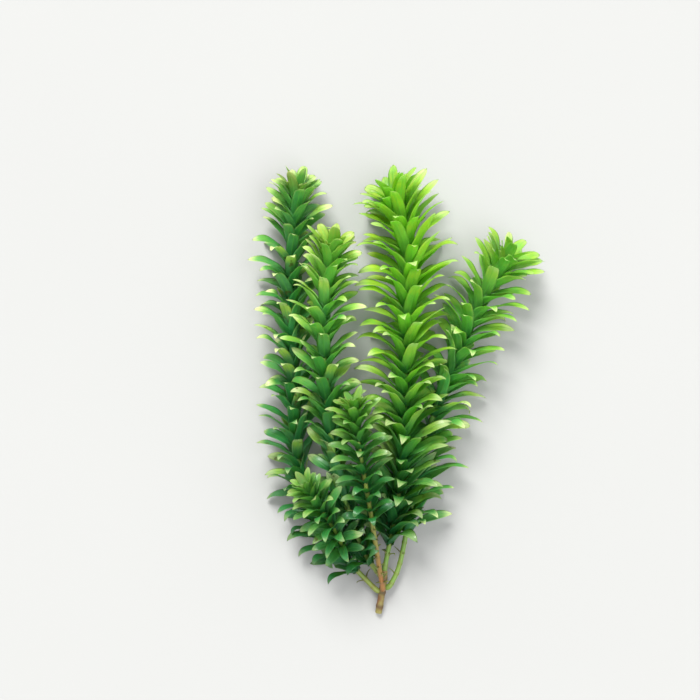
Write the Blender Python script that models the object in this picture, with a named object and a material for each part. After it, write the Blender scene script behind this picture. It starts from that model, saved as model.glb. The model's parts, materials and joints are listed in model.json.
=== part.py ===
"""A bushy plant of Brazilian waterweed, lying on a table as picked: the foot of an old stem, cut off flat,
and the six leafy shoots that branch from it.

Metres, +Z up. The origin is on the table under the middle of the plant, and +Y runs towards the tips of the
shoots. Points of a route are written in millimetres.
"""

import itertools
import math
import random
from dataclasses import dataclass

import bmesh
import bpy
from mathutils import Matrix, Vector
from mathutils.bvhtree import BVHTree

MM = 0.001

# Added to every route, so that the origin is under the middle of the plant
TO_MIDDLE = (-4.0, 0.1, 0.0)

# Stems
STEM_RADIUS = 1.0 * MM
TIP_RADIUS = 0.5 * MM
TAPER_REACH = 32 * MM
FOOT_RADIUS = 1.5 * MM
FOOT_SIDES = 10
NODE_HEIGHT = 0.9 * MM
SHORTEST_INTERNODE = 0.6 * MM
ROUTE_STEP = 0.4 * MM

# Spacing of the whorls, at a shoot's tip and on its older stem, and how far the last is from the tip
TIP_PITCH = 1.0 * MM
OLD_PITCH = 4.4 * MM
PITCH_REACH = 15 * MM
LAST_NODE = 1.0 * MM

# Leaves, at a shoot's tip and on its older stem. Angles are from the stem's own direction.
BLADE_WIDTH = 5.2 * MM
KEEL = 0.5 * MM
BEND_SHARE = 0.6
TEST_SHARE = 0.14
TIP_LENGTH_SHARE = 0.68
TIP_WIDTH_SHARE = 0.9
GROWTH_REACH = 4 * MM
TIP_RISE, OLD_RISE = math.radians(12), math.radians(30)
TIP_FALL, OLD_FALL = math.radians(38), math.radians(65)
OPENING_REACH = 9 * MM
LEAST_RISE, LEAST_BEND = 0.04, 0.10
FOOT_SHRINK = 0.18
FOOT_SHRINK_REACH = 28 * MM

# What each whorl turns on beyond half the angle between two leaves
WHORL_DRIFT = math.radians(7)

# How far one leaf differs from the next
SWING_SPREAD = math.radians(16)
LENGTH_SPREAD = 0.13
WIDTH_SPREAD = 0.08
RISE_SPREAD = math.radians(8)
FALL_SPREAD = math.radians(20)
ROLL_SPREAD = math.radians(22)
ROLL_TO_LIGHT = math.radians(48)

# Room between the leaves of two shoots, and between those of one
SHOOT_GAP = 0.3 * MM
LEAF_GAP = 0.05 * MM


@dataclass
class Shoot:
    """One branch: the points its stem runs through in mm, from the foot to the tip, and how it is leaved."""

    name: str
    route: list
    leaf_length: float
    whorl_size: int
    bare_foot: float
    arch_left: float
    spread: float
    seed: int


MAIN_SHOOT = Shoot(
    "main_shoot",
    [(-0.4, -72.5, 5.3), (1.6, -62, 7.6), (4.4, -46, 12), (6.8, -26, 16), (7.2, -4, 17.5), (8, 20, 17),
     (9.2, 38, 15.5), (9.2, 52, 14.5), (7.6, 63.5, 13.5), (4.8, 72.5, 13.5)],
    leaf_length=24 * MM, whorl_size=5, bare_foot=10 * MM, arch_left=12, spread=1.2, seed=11,
)
LEFT_BACK_SHOOT = Shoot(
    "left_back_shoot",
    [(-3.8, -81.5, 3.9), (-9, -76, 4.8), (-16.5, -68.5, 5.8), (-24, -59, 7), (-30, -48, 8.2),
     (-34, -35.5, 9.2), (-36.5, -19, 10), (-37, 0, 10.5), (-38, 24, 10.5), (-38.5, 48, 10.5), (-37, 65.5, 11),
     (-36, 78, 11)],
    leaf_length=18.5 * MM, whorl_size=4, bare_foot=6.5 * MM, arch_left=14, spread=1.1, seed=22,
)
RIGHT_SHOOT = Shoot(
    "right_shoot",
    [(1.4, -80.5, 4), (5.2, -73, 4.8), (8, -60, 6), (11, -44, 7.2), (15, -24, 8.4), (21.5, -4, 9.6),
     (29.5, 15.5, 11), (35.5, 30, 11.5), (41.5, 41.5, 12), (46.5, 50, 12.5)],
    leaf_length=21.5 * MM, whorl_size=4, bare_foot=22 * MM, arch_left=6, spread=1.2, seed=33,
)
LEFT_FRONT_SHOOT = Shoot(
    "left_front_shoot",
    [(-2, -75.5, 6.7), (-7.2, -68, 10.5), (-13.2, -54, 15.5), (-18.5, -36, 20), (-22.2, -16, 22.5),
     (-24.2, 6, 24), (-24.9, 28, 24), (-23.5, 43, 23), (-22, 53.5, 24)],
    leaf_length=19 * MM, whorl_size=4, bare_foot=7 * MM, arch_left=-10, spread=1.1, seed=44,
)
SMALL_FRONT_SHOOT = Shoot(
    "small_front_shoot",
    [(-1, -81, 6.7), (-2.4, -73, 12.5), (-4.4, -60, 20), (-7, -44, 27), (-9.8, -28, 31), (-11.5, -16, 33),
     (-12.5, -8, 34)],
    leaf_length=15 * MM, whorl_size=4, bare_foot=31 * MM, arch_left=8, spread=1.3, seed=55,
)
SMALL_LEFT_SHOOT = Shoot(
    "small_left_shoot",
    [(-16.2, -68, 8.4), (-17.5, -62.5, 15), (-20.5, -55.5, 22.5), (-25, -48, 27), (-30, -40, 29)],
    leaf_length=15.5 * MM, whorl_size=4, bare_foot=5.5 * MM, arch_left=10, spread=1.3, seed=66,
)

# The front ones come first, because each grows its leaves clear of those before it
SHOOTS = [SMALL_FRONT_SHOOT, MAIN_SHOOT, SMALL_LEFT_SHOOT, LEFT_FRONT_SHOOT, LEFT_BACK_SHOOT, RIGHT_SHOOT]

FOOT_ROUTE = [(-2.8, -91, 1.4), (-1.6, -84, 2.9), (-0.8, -78, 4.3), (-0.4, -73, 5.2)]
FOOT_NODES = [3 * MM, 9 * MM, 14.5 * MM]
FOOT_NODE_REACH = 1.3 * MM
FOOT_WAIST, FOOT_SWELL = 0.92, 1.12

# The faces of a leaf's corners: its seat or its start, then left, right and keel at its bend, and its tip.
# The walls of a hull aren't flat, so they are taken with both of their diagonals.
HULL_WALLS = [(3, 2, 5, 4), (0, 3, 4, 6), (2, 1, 6, 5)]
HULL_FACES = [(0, 1, 2, 3), (1, 0, 6), (4, 5, 7), (5, 6, 7), (6, 4, 7)]
HULL_FACES += [corners for wall in HULL_WALLS for corners in itertools.combinations(wall, 3)]
BLADE_FACES = [(0, 1, 4, 3), (1, 2, 5, 4), (2, 0, 3, 5), (3, 4, 6), (4, 5, 6), (5, 3, 6)]

# What is tried, in order, for a leaf that meets another: turned round the stem, held closer to it, shorter,
# and lying higher on the leaves below it.
SWINGS = [math.radians(a) for a in (0, 13, -13, 26, -26)]
CLOSINGS = [math.radians(a) for a in (0, 14, 28)]
SHARES = (1.0, 0.82, 0.64)
BEDS = [b * MM for b in (0, 1.0, 2.0)]
NEAR_TABLE = 3 * MM


def settled(distance, young, old, reach):
    """A value that is young at a shoot's tip and settles to old within a few times reach below it."""
    return old + (young - old) * math.exp(-distance / reach)


class Route:
    """A smooth line through points. Its frame at a distance has X and Y across the stem and Z along it."""

    def __init__(self, points):
        knots = [(Vector(point) + Vector(TO_MIDDLE)) * MM for point in points]
        knots = [2 * knots[0] - knots[1], *knots, 2 * knots[-1] - knots[-2]]
        self.points = []
        for before, start, end, after in zip(knots, knots[1:], knots[2:], knots[3:]):
            steps = max(2, round((end - start).length / ROUTE_STEP))
            self.points += [self.between(before, start, end, after, i / steps) for i in range(steps)]
        self.points.append(knots[-2])
        self.lengths = [0.0]
        for a, b in zip(self.points, self.points[1:]):
            self.lengths.append(self.lengths[-1] + (b - a).length)
        self.length = self.lengths[-1]
        self.across = []
        across = Vector((1, 0, 0))
        for i in range(len(self.points)):
            along = self.heading(i)
            across = (across - across.dot(along) * along).normalized()
            self.across.append(across)

    @staticmethod
    def between(before, start, end, after, t):
        """A point of the Catmull-Rom curve from start to end."""
        return 0.5 * (
            2 * start
            + (end - before) * t
            + (2 * before - 5 * start + 4 * end - after) * t**2
            + (3 * start - before - 3 * end + after) * t**3
        )

    def heading(self, index):
        before, after = max(index - 1, 0), min(index + 1, len(self.points) - 1)
        return (self.points[after] - self.points[before]).normalized()

    def frame(self, distance):
        index = min(range(len(self.lengths)), key=lambda i: abs(self.lengths[i] - distance))
        along, across = self.heading(index), self.across[index]
        centre = self.points[index] + along * (distance - self.lengths[index])
        axes = Matrix((across, along.cross(across), along)).transposed().to_4x4()
        return Matrix.Translation(centre) @ axes


@dataclass
class Leaf:
    """A blade that leaves the stem at the angle rise and bends evenly to the angle fall at its tip."""

    root: Vector
    stem: Vector
    out: Vector
    length: float
    width: float
    rise: float
    fall: float
    roll: float
    bed: float = 0.0

    def section(self, share, width, keel, lift=0.0):
        """The left edge, right edge and keel at a share of the blade's length, none of them under the bed."""
        turn = self.rise + (self.fall - self.rise) * share
        radius = self.length / (self.fall - self.rise)
        centre = (
            self.root
            + radius * (math.sin(turn) - math.sin(self.rise)) * self.stem
            + radius * (math.cos(self.rise) - math.cos(turn)) * self.out
        )
        upper = math.sin(turn) * self.stem - math.cos(turn) * self.out
        side = self.stem.cross(self.out)
        roll = self.roll * share
        side, upper = (
            math.cos(roll) * side + math.sin(roll) * upper,
            math.cos(roll) * upper - math.sin(roll) * side,
        )
        edge = centre + upper * lift
        corners = [edge - side * width / 2, edge + side * width / 2, centre - upper * keel]
        for corner, lowest in zip(corners, (keel, keel, 0)):
            corner.z = max(corner.z, self.bed + lowest)
        return corners

    def bend(self, room=0.0):
        return self.section(BEND_SHARE, self.width + 2 * room, KEEL + room, room)

    def tip(self, room=0.0):
        point = self.section(1 + room / self.length, 0, 0)[0]
        point.z = max(point.z, self.bed)
        return point

    def hull(self, room):
        """The leaf's corners from its seat to its tip, with room round them."""
        side = self.stem.cross(self.out) * (STEM_RADIUS + room)
        rise = self.stem * (NODE_HEIGHT / 2 + room)
        low, high = self.root - rise, self.root + rise
        return [low - side, low + side, high + side, high - side] + self.bend(room) + [self.tip(room)]

    def blade(self, room):
        """The leaf's corners from just off the stem, where a whorl's leaves no longer touch, to its tip."""
        start = self.section(TEST_SHARE, self.width / 2, KEEL + room, room)
        return start + self.bend(room) + [self.tip(room)]

    def changed(self, swing, closing, share, bed):
        side = self.stem.cross(self.out)
        out = math.cos(swing) * self.out + math.sin(swing) * side
        rise = max(self.rise - closing, LEAST_RISE)
        fall = max(self.fall - 2 * closing, rise + LEAST_BEND)
        return Leaf(self.root, self.stem, out, self.length * share, self.width, rise, fall, self.roll, bed)

    def tries(self):
        """The leaf as it would like to lie, and then what else it may do."""
        for bed in BEDS:
            for share in SHARES:
                for closing in CLOSINGS:
                    for swing in SWINGS:
                        yield self.changed(swing, closing, share, bed)
            if self.tip().z > NEAR_TABLE:
                return


def stem_radius(from_tip):
    return settled(from_tip, TIP_RADIUS, STEM_RADIUS, TAPER_REACH)


def nodes_of(route):
    """(distance along the stem, distance from its tip, height) of each node of a stem, from the foot up."""
    found = []
    from_tip = LAST_NODE
    while from_tip < route.length - NODE_HEIGHT:
        pitch = settled(from_tip, TIP_PITCH, OLD_PITCH, PITCH_REACH)
        found.append((route.length - from_tip, from_tip, min(NODE_HEIGHT, pitch)))
        from_tip += pitch
    return found[::-1]


def leaf_of(shoot, frame, radius, turn, from_tip, from_foot, draw):
    """The leaf that grows at one place of a whorl."""
    swing = draw.uniform(-SWING_SPREAD, SWING_SPREAD)
    length_draw = draw.uniform(1 - LENGTH_SPREAD, 1 + LENGTH_SPREAD)
    width_draw = draw.uniform(1 - WIDTH_SPREAD, 1 + WIDTH_SPREAD)
    rise_draw = draw.uniform(-RISE_SPREAD, RISE_SPREAD)
    fall_draw = draw.uniform(-FALL_SPREAD, FALL_SPREAD)
    roll_draw = draw.uniform(-ROLL_SPREAD, ROLL_SPREAD)
    stem = frame.to_3x3().col[2].copy()
    seat = frame.to_3x3() @ Vector((math.cos(turn), math.sin(turn), 0))
    out = frame.to_3x3() @ Vector((math.cos(turn + swing), math.sin(turn + swing), 0))
    grown = settled(from_tip, TIP_LENGTH_SHARE, 1, GROWTH_REACH)
    grown *= 1 - FOOT_SHRINK * math.exp(-from_foot / FOOT_SHRINK_REACH)
    opened = settled(from_tip, 0, 1, OPENING_REACH)
    rise = TIP_RISE * shoot.spread + (OLD_RISE - TIP_RISE) * opened + rise_draw * opened
    fall = TIP_FALL * shoot.spread**2 + (OLD_FALL - TIP_FALL) * opened
    fall += (fall_draw - math.radians(shoot.arch_left) * out.x) * opened
    return Leaf(
        root=frame.translation + seat * radius,
        stem=stem,
        out=out,
        length=shoot.leaf_length * grown * length_draw,
        width=BLADE_WIDTH * settled(from_tip, TIP_WIDTH_SHARE, 1, GROWTH_REACH) * width_draw,
        rise=max(rise, LEAST_RISE),
        fall=max(fall, rise + LEAST_BEND),
        roll=ROLL_TO_LIGHT * out.x + roll_draw,
    )


def extrude_ring(bm, cap, move, keep):
    """Draws the stem's end face on to its next ring, and returns the new end face."""
    drawn = bmesh.ops.extrude_face_region(bm, geom=[cap])["geom"]
    bmesh.ops.transform(bm, matrix=move, verts=[v for v in drawn if isinstance(v, bmesh.types.BMVert)])
    if not keep:
        bmesh.ops.delete(bm, geom=[cap], context="FACES_ONLY")
    return next(f for f in drawn if isinstance(f, bmesh.types.BMFace))


def stem_mesh(rings, sides):
    """A closed stem through rings, each a frame and a radius, and the side faces of each stretch of it."""
    bm = bmesh.new()
    bm.faces.layers.int.new("leaf")
    first, radius = rings[0]
    bmesh.ops.create_circle(bm, cap_ends=True, segments=sides, radius=1)
    placing = first @ Matrix.Scale(radius, 4)
    bmesh.ops.transform(bm, matrix=placing, verts=bm.verts)
    cap = bm.faces[:][0]
    stretches = []
    for frame, radius in rings[1:]:
        onwards = frame @ Matrix.Scale(radius, 4)
        known = set(bm.faces)
        cap = extrude_ring(bm, cap, onwards @ placing.inverted(), keep=not stretches)
        stretches.append([f for f in bm.faces if f not in known and f is not cap])
        placing = onwards
    return bm, stretches


def grow_leaves(bm, grown):
    """Draws each seat face out into its leaf: a three-cornered blade at the bend, and a point at the tip."""
    key = bm.faces.layers.int["leaf"]
    for number, (seat, _) in enumerate(grown):
        seat[key] = number
    bends = bmesh.ops.extrude_discrete_faces(bm, faces=[seat for seat, _ in grown])["faces"]
    merging = {}
    for face in bends:
        leaf = grown[face[key]][1]
        left, right, keel = leaf.bend()
        side = leaf.stem.cross(leaf.out)
        low, high = sorted_corners(face, leaf.stem)
        high.sort(key=lambda v: v.co.dot(side))
        high[0].co, high[1].co = left, right
        low[0].co = low[1].co = keel
        merging[low[1]] = low[0]
    bmesh.ops.weld_verts(bm, targetmap=merging)
    tips = bmesh.ops.extrude_discrete_faces(bm, faces=bends)["faces"]
    merging = {}
    for face in tips:
        first, *others = face.verts
        first.co = grown[face[key]][1].tip()
        merging.update(dict.fromkeys(others, first))
    bmesh.ops.weld_verts(bm, targetmap=merging)


def sorted_corners(face, stem):
    """The two corners of a seat face nearer the foot, and the two nearer the tip."""
    corners = sorted(face.verts, key=lambda v: v.co.dot(stem))
    return corners[:2], corners[2:]


def stem_rings(shoot, route):
    """The rings of a shoot's stem, and for each whorl the stretch of stem that carries it and its turn."""
    half_face = math.pi / shoot.whorl_size
    step = half_face + WHORL_DRIFT
    turn = 0.0
    rings = [(route.frame(0.0), stem_radius(route.length))]
    whorls = []
    at = 0.0
    for distance, from_tip, height in nodes_of(route):
        low, high = distance - height / 2, distance + height / 2
        radius = stem_radius(from_tip)
        joined = low - at < SHORTEST_INTERNODE
        if not joined:
            turn += step
            rings.append((route.frame(low) @ Matrix.Rotation(turn, 4, "Z"), radius))
        before = turn
        if joined:
            turn += step
        rings.append((route.frame(high) @ Matrix.Rotation(turn, 4, "Z"), radius))
        at = high
        if distance > shoot.bare_foot:
            whorls.append((len(rings) - 2, (before + turn) / 2 + half_face, distance, from_tip))
    rings.append((route.frame(route.length) @ Matrix.Rotation(turn, 4, "Z"), TIP_RADIUS / 2))
    return rings, whorls


def tree_of(bm):
    return BVHTree.FromBMesh(bm)


def leaves_of(shoot, route, whorls, neighbours):
    """The leaves of each whorl that meet neither another shoot nor one another, from the foot up."""
    draw = random.Random(shoot.seed)
    own_points, own_faces = [], []
    grown, left_out = [], 0
    for stretch, first_turn, distance, from_tip in whorls:
        own = BVHTree.FromPolygons(own_points, own_faces) if own_faces else None
        frame = route.frame(distance)
        for number in range(shoot.whorl_size):
            turn = first_turn + number * math.tau / shoot.whorl_size
            leaf = leaf_of(shoot, frame, stem_radius(from_tip), turn, from_tip, distance, draw)
            free = first_free(leaf, neighbours, own)
            if free is None:
                left_out += 1
                continue
            grown.append((stretch, turn, free))
            own_faces += [[len(own_points) + corner for corner in face] for face in BLADE_FACES]
            own_points += free.blade(0.0)
    return grown, left_out


def first_free(leaf, neighbours, own):
    for candidate in leaf.tries():
        hull = BVHTree.FromPolygons(candidate.hull(SHOOT_GAP), HULL_FACES)
        if any(hull.overlap(tree) for tree in neighbours):
            continue
        if own is None or not BVHTree.FromPolygons(candidate.blade(LEAF_GAP), BLADE_FACES).overlap(own):
            return candidate
    return None


def seat_at(stretch, frame, turn):
    """The side face of a stretch that looks most nearly in the direction of turn."""
    out = frame.to_3x3() @ Vector((math.cos(turn), math.sin(turn), 0))
    return max(stretch, key=lambda f: (f.calc_center_median() - frame.translation).dot(out))


def material(name, colour, roughness):
    made = bpy.data.materials.new(name)
    made.use_nodes = True
    shader = made.node_tree.nodes["Principled BSDF"]
    shader.inputs["Base Color"].default_value = (*colour, 1)
    shader.inputs["Roughness"].default_value = roughness
    made.diffuse_color = (*colour, 1)
    return made


def add_object(name, bm, collection, finish):
    bmesh.ops.recalc_face_normals(bm, faces=bm.faces)
    mesh = bpy.data.meshes.new(name)
    bm.to_mesh(mesh)
    bm.free()
    mesh.materials.append(finish)
    obj = bpy.data.objects.new(name, mesh)
    collection.objects.link(obj)
    return obj


def foot_mesh():
    """The old stem's foot: bare, a little swollen at its nodes, and cut off flat at the end."""
    route = Route(FOOT_ROUTE)
    stations = {0.0: FOOT_WAIST, route.length: FOOT_WAIST}
    for node in FOOT_NODES:
        stations[node - FOOT_NODE_REACH] = FOOT_WAIST
        stations[node] = FOOT_SWELL
        stations[node + FOOT_NODE_REACH] = FOOT_WAIST
    rings = [(route.frame(s), FOOT_RADIUS * share) for s, share in sorted(stations.items())]
    return stem_mesh(rings, FOOT_SIDES)[0]


def main():
    for obj in list(bpy.data.objects):
        bpy.data.objects.remove(obj)
    plant = bpy.data.collections.new("brazilian_waterweed")
    bpy.context.scene.collection.children.link(plant)
    green = material("leafy_shoot", (0.10, 0.36, 0.06), 0.35)
    brown = material("old_stem", (0.20, 0.16, 0.05), 0.5)

    foot = foot_mesh()
    built = {}
    for shoot in SHOOTS:
        route = Route(shoot.route)
        rings, whorls = stem_rings(shoot, route)
        bm, stretches = stem_mesh(rings, shoot.whorl_size)
        built[shoot.name] = (shoot, route, whorls, bm, stretches)

    foot_tree = tree_of(foot)
    for name, (shoot, route, whorls, bm, stretches) in built.items():
        neighbours = [foot_tree] + [tree_of(other[3]) for key, other in built.items() if key != name]
        leaves, left_out = leaves_of(shoot, route, whorls, neighbours)
        frames = {stretch: route.frame(distance) for stretch, _, distance, _ in whorls}
        seats = [(seat_at(stretches[stretch], frames[stretch], turn), leaf) for stretch, turn, leaf in leaves]
        grow_leaves(bm, seats)
        bmesh.ops.recalc_face_normals(bm, faces=bm.faces)
        print(f"{name}: {len(leaves)} leaves, {left_out} left out, stem {route.length / MM:.0f} mm")

    add_object("stem_foot", foot, plant, brown)
    for name, (_, _, _, bm, _) in built.items():
        add_object(name, bm, plant, green)


main()
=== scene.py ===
"""The dressed model of a bushy Brazilian waterweed that lies on a table, as picked.

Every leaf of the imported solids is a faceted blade. Here each one is replaced by a thin, arched leaf through
the same seat and bend, whose tip may roll back, and each four- or five-sided stem by a round one with nodes.
Lengths are in metres and angles in radians.
"""

import json
import math
import random
from dataclasses import dataclass

import bmesh
import bpy
import numpy as np
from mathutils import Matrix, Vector

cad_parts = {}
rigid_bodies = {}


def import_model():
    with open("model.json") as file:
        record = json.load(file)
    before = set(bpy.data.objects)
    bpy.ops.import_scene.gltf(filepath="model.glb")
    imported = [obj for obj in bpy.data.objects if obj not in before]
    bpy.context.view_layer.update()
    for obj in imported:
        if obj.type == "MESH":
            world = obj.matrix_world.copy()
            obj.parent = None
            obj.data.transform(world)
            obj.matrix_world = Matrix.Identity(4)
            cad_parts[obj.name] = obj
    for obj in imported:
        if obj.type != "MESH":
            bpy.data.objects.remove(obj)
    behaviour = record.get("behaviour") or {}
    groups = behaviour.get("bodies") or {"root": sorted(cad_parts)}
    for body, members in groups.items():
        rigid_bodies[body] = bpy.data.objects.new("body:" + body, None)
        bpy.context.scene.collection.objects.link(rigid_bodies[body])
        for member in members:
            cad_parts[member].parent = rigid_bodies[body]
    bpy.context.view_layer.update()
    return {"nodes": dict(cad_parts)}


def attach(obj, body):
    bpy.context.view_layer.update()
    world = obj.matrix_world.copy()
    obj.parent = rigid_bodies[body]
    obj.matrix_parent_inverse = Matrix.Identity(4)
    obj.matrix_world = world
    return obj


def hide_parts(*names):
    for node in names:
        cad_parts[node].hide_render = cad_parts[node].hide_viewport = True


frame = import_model()

MM = 0.001
ROOT = "root"

# Reading the solids: a leaf's tip is joined to the corners of its bend, which is this far along the leaf
WELD = 0.002 * MM
BEND_CORNERS, SEAT_CORNERS = 3, 4
BEND_SHARE = 0.6
FOOT_SIDES = 10
AXIS_SMOOTHING = 2.4 * MM
NO_LENGTH = 1e-12

# Leaf blades: rows along and columns across, and the shape of each. Shares are of its length or its width
ROWS, COLUMNS = 18, 8
SEAT_DEPTH = 0.45 * MM
MIDDLE_THICKNESS = 0.22 * MM
EDGE_THICKNESS = 0.06 * MM
BASE_WIDTH_SHARE = 0.78
BASE_REACH = 0.36
WIDEST, OLD_WIDEST = 0.52, 0.42
TIP_ROUNDING, OLD_TIP_ROUNDING = 0.52, 1.0
TIP_FULLNESS = 2.8
TIP_END = 0.998
BLUNTNESS_POWER = 3
THINNER_AT_TIP = 0.5
CHANNEL_AT_BASE, CHANNEL_AT_TIP = 0.14, 0.03
CHANNEL_VARIES = (0.6, 1.5)
WAVE_SHARE = 0.035
WAVE_TURNS = (1.5, 3.0)
MIDRIB_WIDTH = 0.13
MIDRIB_GROOVE = 0.10 * MM
MIDRIB_RIDGE = 0.16 * MM
MIDRIB_FADE = 0.8
TWIST = math.radians(16)

# How leaf tips curl back: a little, or over into a hook, which grown leaves on the upper side mostly do
CURL_FROM = 0.66
CURL_DRAWN_IN = 0.55
TIP_CURL, TIP_CURL_VARIES = 1.2 * MM, (0.3, 1.3)
HOOK_CURL, HOOK_CURL_VARIES = 3.4 * MM, (0.6, 1.1)
HOOKED_SHARE, HOOKED_SHARE_IN_LIGHT = 0.30, 0.90
LIGHT_GAIN = 1.6
FULL_CURL_WIDTH = 4.5 * MM
YOUNG_CURL_LOSS = 0.6
FLOOR_GAP = 0.02 * MM

# Leaves are young near a shoot's tip. Along Y, full shade ends and full light starts at these places
YOUTH_REACH = 22 * MM
SHADE_END, LIGHT_START = -75 * MM, 25 * MM

# Rust keeps to the youngest leaves, and painted backlight, in cream at the leaf ends, mostly to a shoot's
# flanks
RUST_POWER = 8
CREAM = (0.6, 1.0)
CREAM_OFF_FLANK = 0.3

# Buds of young leaves at the shoots' tips. The outer leaves are longer and wider, and lean out more
BUD_WHORLS = 6
BUD_LEAVES = 5
BUD_STEP = 0.35 * MM
BUD_TURN = 0.2
BUD_SEAT = 0.8
BUD_LENGTH, BUD_LENGTH_VARIES = 10.0 * MM, (0.85, 1.1)
BUD_WIDTH = 3.5 * MM
INNER_LENGTH_SHARE, INNER_WIDTH_SHARE = 0.45, 0.6
INNER_LEAN, OUTER_LEAN = 0.12, 0.50
BUD_TIP_LEAN = 1.15

# Withered ends of leaves that the bare nodes have lost
REMNANTS_PER_NODE = 4
REMNANT_SHARE = 0.55
REMNANT_LENGTH = (1.6 * MM, 5.0 * MM)
REMNANT_WIDTH = (0.5 * MM, 1.3 * MM)
REMNANT_SEAT = 0.9
REMNANT_RISE = (0.6, 1.2)
REMNANT_DROOP = (0.1, 0.9)

# Stems, each led into what it forks from
STEM_STEP = 0.5 * MM
STEM_SEGMENTS = 14
STEM_RADIUS = 1.0 * MM
STEM_TIP_RADIUS = 0.4 * MM
STEM_TAPER_REACH = 24 * MM
STEM_END_SHARE = 0.2
BROWN_REACH = 45 * MM
NODE_SWELL = 0.16
NODE_REACH = 0.45 * MM
FORK_DROP = 2.6 * MM
FORK_SWELL = 0.16
FORK_REACH = 1.5 * MM
LEAD_POINTS = 8
LEAD_SMOOTHING = 3
SUNK_RINGS, SUNK_SHARE = 4, 0.8

# The old stem's foot. A corner's cut value runs from 0 to 1 over the cut face, and is higher on the bark
FOOT_SEGMENTS = 28
FOOT_STEP = 0.3 * MM
FOOT_SMOOTHING = 2
FOOT_END_SHARE = 0.5
FOOT_NODE_REACH = 0.9 * MM
FOOT_NODE_SPAN = 8
CREST_RISE = 1.05
FOOT_FIT = 0.985
CUT_RINGS = 8
ON_BARK = 2.0


@dataclass
class Shoot:
    """How a leafy node is dressed.

    whorl is how many leaves a whorl has, and how many sides the solid's stem has. fullness is how much of its
    solid's width a leaf takes, and how blunt it is while young. The next four numbers are: how yellow and
    light its green is, which each leaf also gets more of from painted light higher up along Y; how much
    painted shade darkens its lowest leaves; how brown its youngest are; and the share of the leaves on its
    flanks whose ends get painted backlight in cream. brown_foot is how brown its stem is at the foot.
    """

    whorl: int
    parent: str
    fullness: float
    lushness: float
    gloom: float
    rust: float
    backlit_share: float
    brown_foot: float
    seed: int


FOOT = "stem_foot"
SHOOTS = {
    "main_shoot": Shoot(
        5, FOOT, fullness=1.0, lushness=1.3, gloom=0.85, rust=0.15, backlit_share=0.45, brown_foot=0.2, seed=1
    ),
    "left_back_shoot": Shoot(
        4, FOOT, fullness=0.92, lushness=0.2, gloom=0.9, rust=0.15, backlit_share=0.3, brown_foot=0.35, seed=2
    ),
    "right_shoot": Shoot(
        4, FOOT, fullness=0.95, lushness=0.68, gloom=0.15, rust=0.1, backlit_share=0.1, brown_foot=0.25, seed=3
    ),
    "left_front_shoot": Shoot(
        4, FOOT, fullness=0.95, lushness=0.6, gloom=1.0, rust=0.6, backlit_share=0.46, brown_foot=0.3, seed=4
    ),
    "small_front_shoot": Shoot(
        4, FOOT, fullness=0.7, lushness=0.9, gloom=1.2, rust=0.2, backlit_share=0.1, brown_foot=0.9, seed=5
    ),
    "small_left_shoot": Shoot(
        4, "left_back_shoot", fullness=0.72, lushness=1.0, gloom=0.7, rust=0.1, backlit_share=0.1,
        brown_foot=0.3, seed=6,
    ),
}


# Reading leaves and stems from the solids


@dataclass
class Blade:
    """One leaf of a solid: its seat on the stem, the middle and side of its bend, and its tip."""

    root: Vector
    bend: Vector
    tip: Vector
    side: Vector
    face: Vector
    width: float


def welded(name):
    """A node's solid with the corners of its faces joined."""
    bm = bmesh.new()
    bm.from_mesh(frame["nodes"][name].data)
    bmesh.ops.remove_doubles(bm, verts=bm.verts, dist=WELD)
    return bm


def middle(points):
    return sum(points, Vector()) / len(points)


def blade_at(tip):
    """The leaf whose tip this corner is, and the corners of its bend, or None if it is no leaf's tip."""
    corners = [edge.other_vert(tip) for edge in tip.link_edges]
    if len(corners) != BEND_CORNERS:
        return None
    around = {edge.other_vert(corner) for corner in corners for edge in corner.link_edges}
    seat = around - {tip, *corners}
    if len(seat) != SEAT_CORNERS or not around.issuperset(corners):
        return None
    keel = max(corners, key=lambda corner: span_opposite(corner, corners))
    left, right = (corner for corner in corners if corner is not keel)
    bend = (left.co + right.co) / 2
    blade = Blade(
        # Sorted, because the last digit of a sum depends on its order, and a set's order isn't fixed
        root=middle(sorted((vert.co for vert in seat), key=tuple)),
        bend=bend,
        tip=tip.co.copy(),
        side=(right.co - left.co).normalized(),
        face=(bend - keel.co).normalized(),
        width=(right.co - left.co).length,
    )
    return blade, corners


def span_opposite(corner, corners):
    """The distance between the two corners other than this one."""
    first, second = (other for other in corners if other is not corner)
    return (first.co - second.co).length


def read_shoot(name):
    """The blades of a leafy node, and the corners of its bare stem."""
    bm = welded(name)
    blades, taken = [], set()
    for vert in bm.verts:
        found = blade_at(vert)
        if found:
            blades.append(found[0])
            taken |= {vert, *found[1]}
    stem = [vert.co.copy() for vert in bm.verts if vert not in taken]
    bm.free()
    return blades, stem


class Axis:
    """The middle line of a stem, from foot to tip, at even steps."""

    def __init__(self, corners, sides, step):
        lowest = min(corners, key=lambda p: p.y)
        highest = max(corners, key=lambda p: p.y)
        along = (highest - lowest).normalized()
        ordered = sorted(corners, key=lambda p: p.dot(along))
        inner = ordered[sides:-sides]
        groups = [ordered[:sides]]
        groups += [inner[i:i + 2 * sides] for i in range(0, len(inner), 2 * sides)]
        groups.append(ordered[-sides:])
        rings = np.array([middle(group) for group in groups])
        lengths = run_of(rings)
        even = np.linspace(0, lengths[-1], round(lengths[-1] / step) + 1)
        self.points = np.stack([np.interp(even, lengths, rings[:, i]) for i in range(3)], axis=1)
        self.points = smoothed(self.points, round(AXIS_SMOOTHING / step))
        self.along = even
        self.node_places = lengths[1:-1]
        self.headings = unit(np.gradient(self.points, axis=0))
        self.length = lengths[-1]

    def nearest(self, point):
        return int(np.argmin(np.linalg.norm(self.points - np.array(point), axis=1)))


def run_of(points):
    """How far along the line each of its points is."""
    return np.concatenate([[0.0], np.cumsum(np.linalg.norm(np.diff(points, axis=0), axis=1))])


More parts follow.
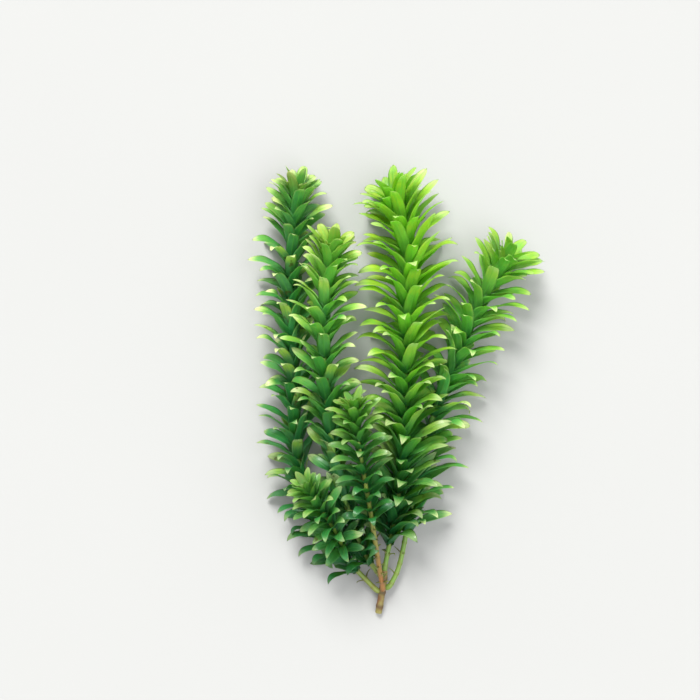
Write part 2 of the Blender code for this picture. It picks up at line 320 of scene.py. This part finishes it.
def averaged(numbers, reach):
    """Numbers averaged over reach neighbours on each side."""
    window = np.ones(2 * reach + 1) / (2 * reach + 1)
    return np.convolve(np.pad(numbers, reach, mode="edge"), window, mode="valid")


def smoothed(points, reach):
    """Points averaged over reach neighbours on each side, with both ends kept."""
    rounded = np.stack([averaged(points[:, i], reach) for i in range(3)], axis=1)
    rounded[0], rounded[-1] = points[0], points[-1]
    return rounded


def unit(vectors):
    return vectors / np.maximum(np.linalg.norm(vectors, axis=-1, keepdims=True), NO_LENGTH)


# Leaves

ALONG = np.linspace(0, 1, ROWS + 1)
ACROSS = np.linspace(-1, 1, COLUMNS + 1)


def blade_faces():
    """The faces of one leaf's grid: the upper side, and an under side that shares its rim."""
    count = (ROWS + 1) * (COLUMNS + 1)
    upper = np.arange(count).reshape(ROWS + 1, COLUMNS + 1)
    under = upper.copy()
    inside = count + np.arange((ROWS - 1) * (COLUMNS - 1))
    under[1:-1, 1:-1] = inside.reshape(ROWS - 1, COLUMNS - 1)
    return np.concatenate([quads_of(upper), quads_of(under)[:, ::-1]])


def quads_of(grid):
    """The four corners of each cell of a grid of corner numbers."""
    return np.stack([grid[:-1, :-1], grid[:-1, 1:], grid[1:, 1:], grid[1:, :-1]], axis=-1).reshape(-1, 4)


def over_blade(grid):
    """Values on one leaf's grid, in the order of its corners: the upper side, then the under side's."""
    return np.concatenate([grid.reshape(-1), grid[1:-1, 1:-1].reshape(-1)])


LEAF_VALUES = "along across youth chance flank gloom lushness rust cream withered".split()
BLADE_FACES = blade_faces()
LEAF_ALONG = over_blade(np.repeat(ALONG[:, None], COLUMNS + 1, axis=1))
LEAF_ACROSS = over_blade(np.repeat(ACROSS[None, :], ROWS + 1, axis=0))


def half_width(width, bluntness):
    """Half the leaf's width at each row: a clasping base, a long strap, and a more or less blunt tip."""
    opened = np.sin(np.clip(ALONG / BASE_REACH, 0, 1) * math.pi / 2)
    based = BASE_WIDTH_SHARE + (1 - BASE_WIDTH_SHARE) * opened
    rounding = OLD_TIP_ROUNDING + (TIP_ROUNDING - OLD_TIP_ROUNDING) * bluntness
    widest = OLD_WIDEST + (WIDEST - OLD_WIDEST) * bluntness
    towards_tip = np.clip((ALONG - widest) / (1 - widest), 0, 1)
    tipped = (1 - TIP_END * towards_tip ** TIP_FULLNESS) ** rounding
    return width / 2 * based * tipped


def spine_of(blade, out):
    """The middle line of a leaf, through its seat, bend and tip."""
    u, b = ALONG[:, None], BEND_SHARE
    root = np.array(blade.root) - out * SEAT_DEPTH
    return (
        (u - b) * (u - 1) / b * root
        + u * (u - 1) / (b * (b - 1)) * np.array(blade.bend)
        + u * (u - b) / (1 - b) * np.array(blade.tip)
    )


def sides_of(blade, spine, heading, out, twist):
    """The direction across the leaf, and its upper face's, at each row."""
    u = ALONG[:, None]
    forward = unit(np.gradient(spine, axis=0))
    at_root = unit(np.cross(heading, out))
    at_bend = np.array(blade.side)
    if at_root @ at_bend < 0:
        at_bend = -at_bend
    side = at_root * (1 - u / BEND_SHARE) + at_bend * u / BEND_SHARE
    side = unit(side - (side * forward).sum(axis=1, keepdims=True) * forward)
    face = np.cross(side, forward)
    if face[round(BEND_SHARE * ROWS)] @ np.array(blade.face) < 0:
        face = -face
    turn = twist * u**2
    return np.cos(turn) * side + np.sin(turn) * face, np.cos(turn) * face - np.sin(turn) * side


def curled(spine, forward, face, curl):
    """The middle line with its end rolled back, away from the upper side, and drawn in as it rolls."""
    rolled = np.clip((ALONG[:, None] - CURL_FROM) / (1 - CURL_FROM), 0, 1)
    return spine - face * curl * rolled**2 - forward * curl * CURL_DRAWN_IN * rolled**3


def blade_points(blade, fullness, heading, out, youth, draw):
    """The corners of one leaf's grid, upper side first, and then the inside of its under side."""
    u, v = ALONG[:, None], ACROSS[None, :]
    width = fullness * blade.width
    spine = spine_of(blade, out)
    side, face = sides_of(blade, spine, heading, out, draw.uniform(-TWIST, TWIST))
    lit = min(max(LIGHT_GAIN * out[2], 0.0), 1.0) * (1 - youth**2)
    hooked = draw.random() < HOOKED_SHARE + (HOOKED_SHARE_IN_LIGHT - HOOKED_SHARE) * lit
    if hooked:
        curl = HOOK_CURL * draw.uniform(*HOOK_CURL_VARIES)
    else:
        curl = TIP_CURL * draw.uniform(*TIP_CURL_VARIES)
    curl *= min(1.0, width / FULL_CURL_WIDTH) * (1 - YOUNG_CURL_LOSS * youth)
    spine = curled(spine, unit(np.gradient(spine, axis=0)), face, curl)
    bent = unit(np.gradient(spine, axis=0))
    side = unit(side - (side * bent).sum(axis=1, keepdims=True) * bent)
    face = np.cross(side, bent) * np.sign((np.cross(side, bent) * face).sum(axis=1, keepdims=True))

    half = half_width(width, youth * fullness**BLUNTNESS_POWER)[:, None]
    channel = CHANNEL_AT_BASE + (CHANNEL_AT_TIP - CHANNEL_AT_BASE) * u
    channel = channel * draw.uniform(*CHANNEL_VARIES) * v**2
    turns, phase = draw.uniform(*WAVE_TURNS), draw.uniform(0, math.tau)
    other_phase = np.where(v < 0, draw.uniform(0, math.pi), 0.0)
    wave = WAVE_SHARE * np.sin(math.tau * turns * u + phase + other_phase) * v**2
    rib = np.exp(-((v / MIDRIB_WIDTH) ** 2)) * (1 - MIDRIB_FADE * u)
    height = width * (channel + wave) * np.clip(2 * half / width, 0, 1) - MIDRIB_GROOVE * rib
    upper = spine[:, None, :] + side[:, None, :] * (half * v)[..., None]
    upper = upper + face[:, None, :] * height[..., None]
    thickness = (MIDDLE_THICKNESS - EDGE_THICKNESS) * (1 - v**2) * (1 - THINNER_AT_TIP * u)
    thickness = EDGE_THICKNESS + thickness + MIDRIB_RIDGE * rib
    upper[..., 2] = np.maximum(upper[..., 2], FLOOR_GAP + thickness)
    under = upper - face[:, None, :] * thickness[..., None]
    points = np.concatenate([upper.reshape(-1, 3), under[1:-1, 1:-1].reshape(-1, 3)])
    points[:, 2] = np.maximum(points[:, 2], FLOOR_GAP)
    return points


def leaves_piece(name, shoot, blades, axis):
    """All leaves of one shoot, and what is left of those it has lost, as one piece."""
    draw = random.Random(shoot.seed)
    remnants = remnants_of(blades, axis, draw)
    grown = [(blade, 0.0) for blade in [*blades, *bud_of(axis, draw)]] + [(blade, 1.0) for blade in remnants]
    points = []
    values = {key: [] for key in LEAF_VALUES}
    for blade, withered in grown:
        near = axis.nearest(blade.root)
        heading = axis.headings[near]
        out = np.array(blade.root) - axis.points[near]
        out = unit(out - (out @ heading) * heading)
        youth = math.exp(-(axis.length - axis.along[near]) / YOUTH_REACH)
        corners = blade_points(blade, shoot.fullness, heading, out, youth, draw)
        points.append(corners)
        # Painted light grows along Y, and painted shade darkens the leaves lower down
        painted_light_share = min(max((blade.root.y - SHADE_END) / (LIGHT_START - SHADE_END), 0.0), 1.0)
        flank = abs(out[0])
        # Painted backlight: some leaves, mostly on the shoot's flanks, get cream ends
        backlit_share = shoot.backlit_share * (CREAM_OFF_FLANK + (1 - CREAM_OFF_FLANK) * flank)
        cream = draw.uniform(*CREAM) if draw.random() < backlit_share else 0.0
        steady = {
            "youth": youth,
            "chance": draw.random(),
            "flank": flank,
            "gloom": shoot.gloom * (1 - painted_light_share),
            "lushness": shoot.lushness * painted_light_share,
            "rust": shoot.rust * youth**RUST_POWER,
            "cream": cream,
            "withered": withered,
        }
        values["along"].append(LEAF_ALONG)
        values["across"].append(LEAF_ACROSS)
        for key, value in steady.items():
            values[key].append(np.full(len(corners), value))
    count = len(points[0])
    faces = np.concatenate([BLADE_FACES + i * count for i in range(len(points))])
    return mesh_piece(name, np.concatenate(points), faces, {k: np.concatenate(v) for k, v in values.items()})


def remnants_of(blades, axis, draw):
    """Short withered ends at the nodes below the lowest leaves."""
    lowest = min(axis.along[axis.nearest(blade.root)] for blade in blades)
    bare = [place for place in axis.node_places if FORK_DROP < place < lowest - 2 * NODE_REACH]
    remnants = []
    for place in bare:
        near = int(np.searchsorted(axis.along, place))
        centre, heading = axis.points[near], axis.headings[near]
        across = unit(np.cross(heading, [0.0, 0.0, 1.0]))
        upward = np.cross(across, heading)
        turns = np.arange(REMNANTS_PER_NODE) * math.tau / REMNANTS_PER_NODE
        for turn in turns + draw.uniform(0, math.tau):
            out = math.cos(turn) * across + math.sin(turn) * upward
            length, width = draw.uniform(*REMNANT_LENGTH), draw.uniform(*REMNANT_WIDTH)
            root = centre + out * STEM_RADIUS * REMNANT_SEAT
            if draw.random() > REMNANT_SHARE or root[2] + out[2] * length < REMNANT_WIDTH[1]:
                continue
            rise, droop = draw.uniform(*REMNANT_RISE), draw.uniform(*REMNANT_DROOP)
            bend = root + length * BEND_SHARE * (math.cos(rise) * heading + math.sin(rise) * out)
            end = unit(math.cos(rise + droop) * heading + math.sin(rise) * out)
            tip = bend + length * (1 - BEND_SHARE) * end
            face = unit(heading * math.sin(rise) - out * math.cos(rise))
            side = np.cross(heading, out)
            remnants.append(Blade(*(Vector(p) for p in (root, bend, tip, side, face)), width))
    return remnants


def bud_of(axis, draw):
    """The youngest leaves, folded upright round the shoot's tip."""
    blades = []
    heading = axis.headings[-1]
    across = unit(np.cross(heading, [0.0, 0.0, 1.0]))
    upward = np.cross(across, heading)
    for whorl in range(BUD_WHORLS):
        grown = 1 - whorl / BUD_WHORLS
        seat = axis.points[-1] - heading * (BUD_WHORLS - whorl) * BUD_STEP
        for number in range(BUD_LEAVES):
            turn = math.tau * (number + 0.5 * (whorl % 2)) / BUD_LEAVES
            turn += draw.uniform(-BUD_TURN, BUD_TURN)
            out = math.cos(turn) * across + math.sin(turn) * upward
            length = BUD_LENGTH * (INNER_LENGTH_SHARE + (1 - INNER_LENGTH_SHARE) * grown)
            length *= draw.uniform(*BUD_LENGTH_VARIES)
            lean = INNER_LEAN + (OUTER_LEAN - INNER_LEAN) * grown
            tip_lean = BUD_TIP_LEAN * lean
            root = seat + out * STEM_TIP_RADIUS * BUD_SEAT
            bend = root + length * BEND_SHARE * (heading * math.cos(lean) + out * math.sin(lean))
            tip = root + length * (heading * math.cos(tip_lean) + out * math.sin(tip_lean))
            side = np.cross(heading, out)
            face = unit(heading * math.sin(lean) - out * math.cos(lean))
            width = BUD_WIDTH * (INNER_WIDTH_SHARE + (1 - INNER_WIDTH_SHARE) * grown)
            blades.append(Blade(*(Vector(p) for p in (root, bend, tip, side, face)), width))
    return blades


# Stems


def tube(centres, headings, radii, segments):
    """The corners of a round tube, ring by ring, and its faces, open at both ends."""
    across = unit(np.cross(headings[0], [0.0, 0.0, 1.0]))
    rings = []
    turns = np.linspace(0, math.tau, segments, endpoint=False)[:, None]
    for centre, heading, radius in zip(centres, headings, radii):
        across = unit(across - (across @ heading) * heading)
        upward = np.cross(heading, across)
        rings.append(centre + radius * (np.cos(turns) * across + np.sin(turns) * upward))
    index = np.arange(len(rings) * segments).reshape(len(rings), segments)
    following = np.roll(index, -1, axis=1)
    faces = np.stack([index[:-1], following[:-1], following[1:], index[1:]], axis=-1).reshape(-1, 4)
    return np.concatenate(rings), faces


def nearness(places, nodes, reach):
    """How near each place along a stem is to a node, from 1 at the node to 0."""
    return np.exp(-((places[:, None] - nodes[None, :]) / reach) ** 2).max(axis=1)


def stem_piece(name, shoot, axis, parent):
    """A shoot's stem: it swells a little at each node, and runs into what it forks from."""
    fork = parent.nearest(axis.points[0])
    below = max(0, fork - round(FORK_DROP / np.linalg.norm(parent.points[1] - parent.points[0])))
    lead = np.linspace(parent.points[below], axis.points[0], LEAD_POINTS)[:-1]
    centres = smoothed(np.concatenate([lead, axis.points]), LEAD_SMOOTHING)
    places = run_of(centres)
    start = np.linalg.norm(axis.points[0] - parent.points[below])
    from_tip = places[-1] - places
    radii = STEM_RADIUS + (STEM_TIP_RADIUS - STEM_RADIUS) * np.exp(-from_tip / STEM_TAPER_REACH)
    node = nearness(places, axis.node_places + start, NODE_REACH)
    radii = radii * (1 + NODE_SWELL * node + FORK_SWELL * np.exp(-((places - start) / FORK_REACH) ** 2))
    radii[-1] *= STEM_END_SHARE
    radii[:SUNK_RINGS] = np.minimum(radii[:SUNK_RINGS], STEM_RADIUS * SUNK_SHARE)
    points, faces = tube(centres, unit(np.gradient(centres, axis=0)), radii, STEM_SEGMENTS)
    points[:, 2] = np.maximum(points[:, 2], FLOOR_GAP)
    values = {
        "youth": np.repeat(np.exp(-from_tip / YOUTH_REACH), STEM_SEGMENTS),
        "node": np.repeat(node, STEM_SEGMENTS),
        "brown": np.repeat(shoot.brown_foot * np.exp(-places / BROWN_REACH), STEM_SEGMENTS),
    }
    return mesh_piece(name, points, faces, values)


def is_crest(radii, index):
    """Whether the foot is thicker here than for a few millimetres on either side."""
    near = radii[max(index - FOOT_NODE_SPAN, 0):index + FOOT_NODE_SPAN + 1]
    return radii[index] == near.max() and radii[index] > near.min() * CREST_RISE


def foot_piece(name, corners):
    """The old stem's foot: swollen, scarred nodes, and a flat cut end that shows its pith."""
    axis = Axis(corners, FOOT_SIDES, FOOT_STEP)
    solid = np.array(corners)
    nearest = np.argmin(np.linalg.norm(solid[:, None, :] - axis.points[None, :, :], axis=2), axis=1)
    spans = np.linalg.norm(solid - axis.points[nearest], axis=1)
    order = np.argsort(nearest)
    radii = np.interp(np.arange(len(axis.points)), nearest[order], spans[order])
    radii = FOOT_FIT * averaged(radii, FOOT_SMOOTHING)
    shares = np.linspace(0, 1, CUT_RINGS + 1)[1:]
    centres = np.concatenate([np.repeat(axis.points[:1], CUT_RINGS, axis=0), axis.points])
    headings = np.concatenate([np.repeat(axis.headings[:1], CUT_RINGS, axis=0), axis.headings])
    radii = np.concatenate([shares * radii[0], radii])
    radii[-1] *= FOOT_END_SHARE
    points, faces = tube(centres, headings, radii, FOOT_SEGMENTS)
    points[:, 2] = np.maximum(points[:, 2], FLOOR_GAP)
    swollen = [i for i in range(1, len(radii) - CUT_RINGS - 1) if is_crest(radii[CUT_RINGS:], i)]
    node = nearness(axis.along, axis.along[swollen], FOOT_NODE_REACH)
    cut = np.concatenate([shares, np.full(len(axis.points), ON_BARK)])
    values = {
        "node": np.repeat(np.concatenate([np.zeros(CUT_RINGS), node]), FOOT_SEGMENTS),
        "cut": np.repeat(cut, FOOT_SEGMENTS),
    }
    return mesh_piece(name, points, faces, values), axis


def mesh_piece(name, points, faces, values):
    """A smooth-shaded piece, with a named value at each corner for its material to use."""
    mesh = bpy.data.meshes.new(name)
    mesh.vertices.add(len(points))
    mesh.vertices.foreach_set("co", points.astype(np.float32).reshape(-1))
    mesh.loops.add(faces.size)
    mesh.loops.foreach_set("vertex_index", faces.astype(np.int32).reshape(-1))
    mesh.polygons.add(len(faces))
    mesh.polygons.foreach_set("loop_start", np.arange(0, faces.size, faces.shape[1], dtype=np.int32))
    mesh.update(calc_edges=True)
    mesh.validate()
    for key, numbers in values.items():
        attribute = mesh.attributes.new(key, "FLOAT", "POINT")
        attribute.data.foreach_set("value", numbers.astype(np.float32))
    mesh.polygons.foreach_set("use_smooth", np.ones(len(mesh.polygons), dtype=bool))
    piece = bpy.data.objects.new(name, mesh)
    bpy.context.scene.collection.objects.link(piece)
    return piece


# Materials


class Value:
    """A number that changes over a surface. Arithmetic on it adds the Math nodes."""

    def __init__(self, paint, socket):
        self.paint = paint
        self.socket = socket

    def math(self, operation, *others):
        return self.paint.node("Math", {"operation": operation}, dict(enumerate((self, *others))))

    def __add__(self, other):
        return self.math("ADD", other)

    __radd__ = __add__

    def __mul__(self, other):
        return self.math("MULTIPLY", other)

    def __sub__(self, other):
        return self.math("SUBTRACT", other)

    def __rsub__(self, other):
        return self.paint.node("Math", {"operation": "SUBTRACT"}, {0: other, 1: self})

    def clamped(self):
        return self.paint.node("Clamp", {}, {0: self})

    def between(self, low, high):
        """0 up to low, 1 from high, and a smooth step from one to the other."""
        sockets = {"Value": self, "From Min": low, "From Max": high}
        return self.paint.node("MapRange", {"interpolation_type": "SMOOTHSTEP"}, sockets)


class Paint:
    """One material's nodes."""

    def __init__(self, name):
        self.material = bpy.data.materials.new(name)
        self.material.use_nodes = True
        self.tree = self.material.node_tree
        self.tree.nodes.clear()

    def node(self, kind, settings, sockets, output=0):
        """Adds a node, sets it up, and returns one of its outputs as a value."""
        made = self.tree.nodes.new("ShaderNode" + kind)
        for key, setting in settings.items():
            setattr(made, key, setting)
        for key, given in sockets.items():
            if isinstance(given, Value):
                self.tree.links.new(given.socket, made.inputs[key])
            else:
                made.inputs[key].default_value = given
        return Value(self, made.outputs[output])

    def corner(self, name):
        """A value that the piece carries at its corners."""
        return self.node("Attribute", {"attribute_name": name}, {}, "Fac")

    def mix(self, share, first, second):
        """A colour between two others."""
        colours = {6: (*first, 1) if isinstance(first, tuple) else first}
        colours[7] = (*second, 1) if isinstance(second, tuple) else second
        return self.node("Mix", {"data_type": "RGBA"}, {0: share, **colours}, 2)

    def noise(self, scale, detail, stretch=(1, 1, 1)):
        place = self.node("TexCoord", {}, {}, "Object")
        place = self.node("Mapping", {}, {"Vector": place, "Scale": stretch})
        return self.node("TexNoise", {}, {"Vector": place, "Scale": scale, "Detail": detail}, "Fac")

    def bump(self, height, distance, strength):
        return self.node("Bump", {}, {"Height": height, "Distance": distance, "Strength": strength})

    def surface(self, shader):
        output = self.tree.nodes.new("ShaderNodeOutputMaterial")
        self.tree.links.new(shader.socket, output.inputs["Surface"])
        return self.material


YOUNG_GREEN = (0.42, 0.74, 0.06)
CROWN_GREEN = (0.14, 0.44, 0.045)
FULL_GREEN = (0.15, 0.56, 0.09)
BLUE_GREEN = (0.016, 0.25, 0.07)
SHADED_GREEN = (0.004, 0.11, 0.03)
LUSH_YELLOW = (0.66, 0.72, 0.05)
TIP_YELLOW = (0.55, 0.78, 0.10)
# Painted highlight at the tips, and painted backlight in cream
TIP_HIGHLIGHT = (0.80, 0.84, 0.42)
TIP_BACKLIGHT_CREAM = (0.88, 0.86, 0.46)
OLD_GREY_GREEN = (0.16, 0.36, 0.18)
RIB_GREEN = (0.16, 0.56, 0.08)
LIGHT_THROUGH = (0.42, 0.84, 0.09)
YOUNG_RUST = (0.46, 0.36, 0.06)
DEAD_BROWN = (0.10, 0.055, 0.02)
WITHERED_OLIVE = (0.26, 0.27, 0.09)

# Patterns: scale and detail, and for some their stretch. Bumps: depth and strength. A leaf's streaks follow
# the leaf, and start anew on each
MOTTLE, CELLS, SPOTS, STREAKS = (260, 3.0), (2600, 2.0), (420, 1.0), (1.6, 3.0)
STREAKS_ACROSS, STREAKS_ALONG, STREAKS_ANEW = 5, 2.2, 60
LEAF_BUMP = (0.14 * MM, 0.7)
COAT_WEIGHT, COAT_ROUGHNESS = 0.3, 0.2
LET_THROUGH, LET_THROUGH_LUSH = 0.28, 0.2


def leaf_finish():
    """Living leaf: painted shade at its base, lighter outwards to painted highlights at the ends, and thin
    enough for light to shine through.
    """
    paint = Paint("waterweed_leaf")
    along, across = paint.corner("along"), paint.corner("across")
    youth, chance, lushness = paint.corner("youth"), paint.corner("chance"), paint.corner("lushness")
    flank, gloom, rust = paint.corner("flank"), paint.corner("gloom"), paint.corner("rust")
    cream, withered = paint.corner("cream"), paint.corner("withered")
    mottle = paint.noise(*MOTTLE)
    on_leaf = {0: across * STREAKS_ACROSS, 1: along * STREAKS_ALONG, 2: chance * STREAKS_ANEW}
    sockets = {"Vector": paint.node("CombineXYZ", {}, on_leaf), "Scale": STREAKS[0], "Detail": STREAKS[1]}
    streaks = paint.node("TexNoise", {}, sockets, "Fac")
    cells = paint.noise(*CELLS)

    # Greens, by the shoot's tone and painted light that grows along Y, the leaf's age, painted light on the
    # flanks, and painted shade towards its base
    grown = paint.mix(lushness, BLUE_GREEN, FULL_GREEN)
    # Painted light makes the leaves on the flanks lighter
    bright = youth * 0.5 + lushness * 0.7 - 0.4 + flank * 0.25
    bright = (bright + (chance - 0.5) * 0.45 + (mottle - 0.5) * 0.6).clamped()
    blade = paint.mix(bright * (0.2 + lushness * 0.8).clamped(), grown, YOUNG_GREEN)
    blade = paint.mix(youth.between(0.5, 1.0) * (0.25 + lushness * 0.45), blade, CROWN_GREEN)
    old = ((1 - youth) * (1.15 - lushness) * chance.between(0.40, 0.9)).clamped()
    blade = paint.mix(old * 0.75, blade, OLD_GREY_GREEN)
    # Painted shade at the leaf's base, inside the whorl, less on young leaves
    base = 1 - (along + (mottle - 0.5) * 0.3).between(0.02, 0.48)
    blade = paint.mix(base * (1 - youth * 0.75), blade, SHADED_GREEN)
    blade = paint.mix(streaks.between(0.48, 0.72) * 0.4, blade, SHADED_GREEN)
    # Yellow streaks, with more of them on the flanks as painted light
    yellowed = (streaks + (mottle - 0.5) * 0.7 + flank * 0.25).between(0.52, 0.80) * along.between(0.25, 0.75)
    blade = paint.mix(yellowed * lushness * 0.6, blade, LUSH_YELLOW)

    # Paler ends, which some leaves have more of: yellow-green ends, a painted highlight at the very tip, and
    # painted backlight in cream on leaves that face sideways
    pale_leaf = (chance.between(0.72, 0.92) + cream * 0.5).clamped() * (1 - youth * 0.5)
    outer = (along + (chance - 0.5) * 0.2 + pale_leaf * 0.3 + (streaks - 0.5) * 0.5).between(0.70, 1.02)
    share = (0.3 + lushness * 0.1 - youth * 0.15 + pale_leaf * 0.6).clamped()
    blade = paint.mix(outer * share, blade, TIP_YELLOW)
    # Painted highlight at the very tip
    end = (along + pale_leaf * 0.12 + (chance - 0.5) * 0.10 + (streaks - 0.5) * 0.15).between(0.77, 0.98)
    blade = paint.mix(end * (0.9 - youth * 0.6), blade, TIP_HIGHLIGHT)
    # Painted backlight in cream at the ends of some leaves
    blade = paint.mix(cream * (along + (streaks - 0.5) * 0.5).between(0.66, 0.98) * 0.85, blade, TIP_BACKLIGHT_CREAM)

    # Rust on young leaves, painted light shining through the edges, a lighter rib, painted shade on the
    # lowest leaves, spots, and the withered ends
    blush = ((1 - chance.between(0.10, 0.22)) * youth * 0.45 + rust * 0.8).clamped()
    blade = paint.mix(blush * along.between(0.2, 0.8), blade, YOUNG_RUST)
    # Painted light shining through the thin edges
    edge = (across * across).between(0.66, 1.0)
    blade = paint.mix(edge * 0.35 * along.between(0.25, 0.7), blade, TIP_YELLOW)
    rib = 1 - (across * across).between(0.002, 0.03)
    blade = paint.mix(rib * 0.3, blade, RIB_GREEN)
    # Painted shade on the lowest leaves of each shoot
    blade = paint.mix(gloom, blade, SHADED_GREEN)
    spots = paint.noise(*SPOTS).between(0.66, 0.70) * old.between(0.35, 0.6)
    blade = paint.mix(spots * 0.85, blade, DEAD_BROWN)
    blade = paint.mix(withered, blade, paint.mix(mottle.between(0.4, 0.6), WITHERED_OLIVE, DEAD_BROWN))

    height = (1 - rib) * 0.8 + cells * 0.3 + streaks * 0.8
    normal = paint.bump(height, *LEAF_BUMP)
    sockets = {"Base Color": blade, "Roughness": 0.38 + mottle * 0.24, "Normal": normal}
    sockets |= {"Coat Weight": COAT_WEIGHT, "Coat Roughness": COAT_ROUGHNESS}
    skin = paint.node("BsdfPrincipled", {}, sockets, "BSDF")
    glow = paint.node("BsdfTranslucent", {}, {"Color": (*LIGHT_THROUGH, 1), "Normal": normal}, "BSDF")
    share = LET_THROUGH + lushness * LET_THROUGH_LUSH
    return paint.surface(paint.node("MixShader", {}, {0: share, 1: skin, 2: glow}))


STEM_GREEN = (0.12, 0.34, 0.05)
STEM_YOUNG = (0.25, 0.50, 0.06)
STEM_BROWN = (0.30, 0.13, 0.035)
NODE_BROWN = (0.16, 0.10, 0.03)
STEM_STREAKS = (900, 3.0, (1, 0.08, 1))
STEM_BLOTCHES = (160, 2.0)
STEM_BUMP = (0.08 * MM, 0.7)


def stem_finish():
    """A smooth green stem, browner towards its foot, with darker nodes and faint streaks along it."""
    paint = Paint("waterweed_stem")
    youth, node, brown = paint.corner("youth"), paint.corner("node"), paint.corner("brown")
    streaks = paint.noise(*STEM_STREAKS)
    blotches = paint.noise(*STEM_BLOTCHES)
    skin = paint.mix(youth, STEM_GREEN, STEM_YOUNG)
    skin = paint.mix((brown * 1.3 + (blotches - 0.5) * 0.9 * brown).clamped(), skin, STEM_BROWN)
    skin = paint.mix(node * (0.25 + brown * 0.6), skin, NODE_BROWN)
    skin = paint.mix(streaks.between(0.5, 0.75) * 0.3, skin, NODE_BROWN)
    normal = paint.bump(streaks, *STEM_BUMP)
    sockets = {"Base Color": skin, "Roughness": 0.3 + blotches * 0.3, "Normal": normal}
    return paint.surface(paint.node("BsdfPrincipled", {}, sockets, "BSDF"))


FOOT_OLIVE = (0.22, 0.19, 0.05)
FOOT_BROWN = (0.17, 0.075, 0.025)
SCAR_BROWN = (0.07, 0.035, 0.015)
PITH_CREAM = (0.62, 0.62, 0.34)
CUT_RIM = (0.16, 0.20, 0.05)
FOOT_STREAKS = (1100, 3.0, (1, 0.07, 1))
FOOT_BLOTCHES = (240, 3.0)
PITH_GRAIN = (3200, 1.0)
FOOT_BUMP = (0.12 * MM, 0.8)


def foot_finish():
    """Old stem: olive and rust brown, dark scars round the nodes, and a pale, dark-rimmed pith at the cut."""
    paint = Paint("old_waterweed_stem")
    node, cut = paint.corner("node"), paint.corner("cut")
    blotches = paint.noise(*FOOT_BLOTCHES)
    streaks = paint.noise(*FOOT_STREAKS)
    skin = paint.mix(blotches.between(0.38, 0.66), FOOT_OLIVE, FOOT_BROWN)
    skin = paint.mix(node * 0.75, skin, SCAR_BROWN)
    skin = paint.mix(streaks.between(0.52, 0.78) * 0.5, skin, SCAR_BROWN)
    pith = paint.mix(cut.between(0.55, 0.95), PITH_CREAM, CUT_RIM)
    pith = paint.mix(paint.noise(*PITH_GRAIN).between(0.5, 0.6) * 0.5, pith, CUT_RIM)
    colour = paint.mix(cut.between(1.0, 1.4), pith, skin)
    normal = paint.bump(streaks * 0.6 + blotches * 0.4 + node * 0.5, *FOOT_BUMP)
    sockets = {"Base Color": colour, "Roughness": 0.42 + blotches * 0.3, "Normal": normal}
    return paint.surface(paint.node("BsdfPrincipled", {}, sockets, "BSDF"))


FLOOR_COLOUR = (0.40, 0.40, 0.392)
FLOOR_CLOUD = (0.37, 0.37, 0.365)
FLOOR_PATTERN = (6.0, 2.0)
FLOOR_ROUGHNESS = 0.75


def floor_finish():
    paint = Paint("pale_table")
    shade = paint.mix(paint.noise(*FLOOR_PATTERN) * 0.5, FLOOR_COLOUR, FLOOR_CLOUD)
    sockets = {"Base Color": shade, "Roughness": FLOOR_ROUGHNESS}
    return paint.surface(paint.node("BsdfPrincipled", {}, sockets, "BSDF"))


# The studio

FLOOR_SIZE = 6.0
CAMERA_LENS, CAMERA_SENSOR = 100.0, 36.0
VIEW_WIDTH = 0.280
VIEW_CENTRE = Vector((-0.0184, 0.0161, 0.016))
WORLD_LIGHT = 0.75
LIGHTS = [
    # name, where it shines from, how wide it looks, strength, colour
    ("key_light", (-0.40, 1.30, 1.40), math.radians(28), 4.7, (1.0, 1.0, 0.98)),
    ("fill_light", (0.9, -0.4, 1.6), math.radians(60), 1.6, (0.96, 0.98, 1.0)),
]


def add_floor():
    bpy.ops.mesh.primitive_plane_add(size=FLOOR_SIZE)
    floor = bpy.context.object
    floor.name = "table"
    floor.data.materials.append(floor_finish())


def add_lights():
    for name, place, angle, strength, colour in LIGHTS:
        light = bpy.data.lights.new(name, "SUN")
        light.angle, light.energy, light.color = angle, strength, colour
        lamp = bpy.data.objects.new(name, light)
        lamp.location = place
        lamp.rotation_euler = (-Vector(place)).to_track_quat("-Z", "Y").to_euler()
        bpy.context.scene.collection.objects.link(lamp)
    world = bpy.data.worlds.new("studio")
    world.use_nodes = True
    background = world.node_tree.nodes["Background"]
    background.inputs["Color"].default_value = (1, 1, 1, 1)
    background.inputs["Strength"].default_value = WORLD_LIGHT
    bpy.context.scene.world = world


def add_camera():
    """Looks straight down, because the plant that stands in the photo lies here."""
    lens = bpy.data.cameras.new("camera")
    lens.lens, lens.sensor_width = CAMERA_LENS, CAMERA_SENSOR
    camera = bpy.data.objects.new("camera", lens)
    camera.location = VIEW_CENTRE + Vector((0, 0, VIEW_WIDTH * CAMERA_LENS / CAMERA_SENSOR))
    bpy.context.scene.collection.objects.link(camera)
    bpy.context.scene.camera = camera


def dress(piece, finish, node):
    piece.data.materials.append(finish)
    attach(piece, ROOT)
    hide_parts(node)


def main():
    leaf, stem, old = leaf_finish(), stem_finish(), foot_finish()
    foot_solid = welded(FOOT)
    foot, foot_axis = foot_piece("old_stem_foot", [vert.co.copy() for vert in foot_solid.verts])
    foot_solid.free()
    dress(foot, old, FOOT)
    axes = {FOOT: foot_axis}
    for name, shoot in SHOOTS.items():
        blades, corners = read_shoot(name)
        axes[name] = Axis(corners, shoot.whorl, STEM_STEP)
        leaves = leaves_piece(name + "_leaves", shoot, blades, axes[name])
        dress(leaves, leaf, name)
        stalk = stem_piece(name + "_stem", shoot, axes[name], axes[shoot.parent])
        dress(stalk, stem, name)
        print(name, len(blades), "leaves", len(leaves.data.polygons) * 2, "triangles")
    add_floor()
    add_lights()
    add_camera()
    bpy.context.scene.view_settings.view_transform = "Standard"


main()
